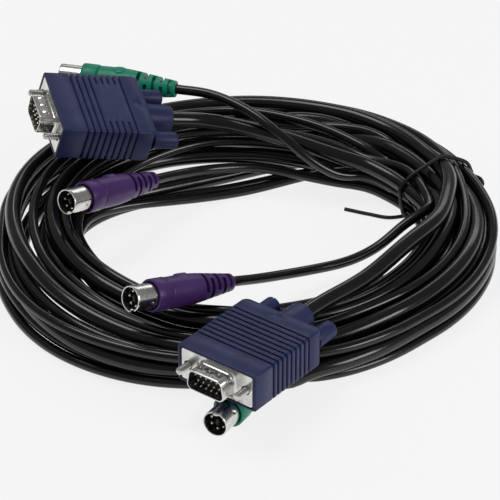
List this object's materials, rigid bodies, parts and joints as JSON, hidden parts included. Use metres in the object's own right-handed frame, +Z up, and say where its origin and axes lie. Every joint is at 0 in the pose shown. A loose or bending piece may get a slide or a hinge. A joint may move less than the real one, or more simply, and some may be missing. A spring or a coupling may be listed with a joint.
{
  "type": "computer cable",
  "caption": "Coiled and tied computer cable with a blue video plug, a purple keyboard plug and a green mouse plug at each end.",
  "frame": {"origin": "middle of the bounding box in plan, on the surface that the coil lies on", "axes": "+Z up from the coil's underside, -Y towards the front video plug, +X to the right of someone who looks along +Y"},
  "size_m": [0.1914, 0.2186, 0.0508],
  "materials": {
    "navy_moulding": "moulded navy blue vinyl with a soft satin sheen",
    "purple_moulding": "moulded purple vinyl with a soft satin sheen",
    "green_moulding": "moulded green vinyl with a soft satin sheen",
    "nickel_shell": "bright nickel plate on stamped steel",
    "steel_screw": "nickel plate on turned steel",
    "black_insulator": "moulded black plastic",
    "black_cord": "glossy extruded black vinyl",
    "tie_wire": "black vinyl on a thin steel wire"
  },
  "bodies": {
    "cable": {"video_hood_a": "navy_moulding", "video_front_shell_a": "nickel_shell", "video_rear_shell_a": "nickel_shell", "video_contact_block_a": "black_insulator", "video_hood_b": "navy_moulding", "video_front_shell_b": "nickel_shell", "video_rear_shell_b": "nickel_shell", "video_contact_block_b": "black_insulator", "keyboard_boot_a": "purple_moulding", "keyboard_shell_a": "nickel_shell", "keyboard_contact_block_a": "black_insulator", "keyboard_boot_b": "purple_moulding", "keyboard_shell_b": "nickel_shell", "keyboard_contact_block_b": "black_insulator", "mouse_boot_a": "green_moulding", "mouse_shell_a": "nickel_shell", "mouse_contact_block_a": "black_insulator", "mouse_boot_b": "green_moulding", "mouse_shell_b": "nickel_shell", "mouse_contact_block_b": "black_insulator", "cable_coil": "black_cord", "video_lead_a": "black_cord", "video_lead_b": "black_cord", "keyboard_lead_a": "black_cord", "keyboard_lead_b": "black_cord", "mouse_lead_a": "black_cord", "mouse_lead_b": "black_cord", "twist_tie": "tie_wire"},
    "screw_a1": {"thumbscrew_a1": "navy_moulding", "jackscrew_a1": "steel_screw"},
    "screw_a2": {"thumbscrew_a2": "navy_moulding", "jackscrew_a2": "steel_screw"},
    "screw_b1": {"thumbscrew_b1": "navy_moulding", "jackscrew_b1": "steel_screw"},
    "screw_b2": {"thumbscrew_b2": "navy_moulding", "jackscrew_b2": "steel_screw"}
  },
  "joints": [
    {"name": "screw_a1_turn", "type": "hinge", "parent": "cable", "child": "screw_a1", "pos_m": [-0.07246, 0.0414, 0.0376], "axis": [-0.9205, -0.3206, 0.2232], "continuous": true},
    {"name": "screw_a2_turn", "type": "hinge", "parent": "cable", "child": "screw_a2", "pos_m": [-0.07924, 0.0648, 0.0432], "axis": [-0.9205, -0.3206, 0.2232], "continuous": true},
    {"name": "screw_b1_turn", "type": "hinge", "parent": "cable", "child": "screw_b1", "pos_m": [-0.02061, -0.08912, 0.0217], "axis": [-0.6143, -0.7891, 0], "continuous": true},
    {"name": "screw_b2_turn", "type": "hinge", "parent": "cable", "child": "screw_b2", "pos_m": [-0.00089, -0.10447, 0.0217], "axis": [-0.6143, -0.7891, 0], "continuous": true}
  ]
}
